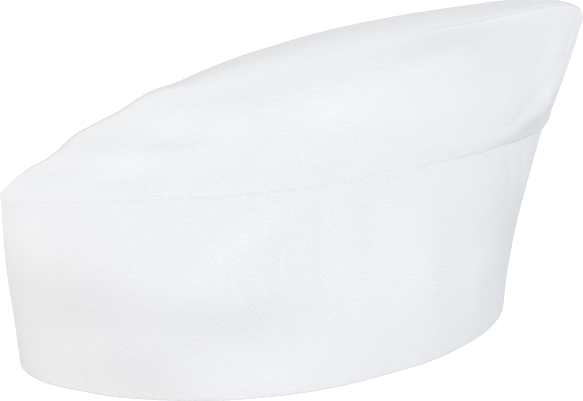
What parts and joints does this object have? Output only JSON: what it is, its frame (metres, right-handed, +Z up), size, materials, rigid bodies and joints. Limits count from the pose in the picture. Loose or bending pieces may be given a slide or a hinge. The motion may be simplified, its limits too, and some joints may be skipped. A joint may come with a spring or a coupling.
{
  "type": "garrison cap",
  "caption": "Soft wedge-shaped side cap with a tall turned-up band, two crown sides, a long narrow top panel that rises to a peak, and an open rim.",
  "frame": {"origin": "middle of the cap's box in plan, on the plane that the rim rests on", "axes": "+X along the cap towards its raised peak end, +Z up from the rim to the crown, -Y to the right-hand side if the peak is the front"},
  "size_m": [0.2817, 0.1276, 0.1523],
  "materials": {
    "band_twill": "plain white cotton twill, matt, doubled over a light interlining",
    "crown_right_twill": "plain white cotton twill, matt, one layer",
    "crown_left_twill": "plain white cotton twill, matt, one layer",
    "crown_top_twill": "plain white cotton twill, matt, one layer"
  },
  "bodies": {
    "root": {"band": "band_twill", "crown_right": "crown_right_twill", "crown_left": "crown_left_twill", "crown_top": "crown_top_twill"}
  },
  "joints": []
}
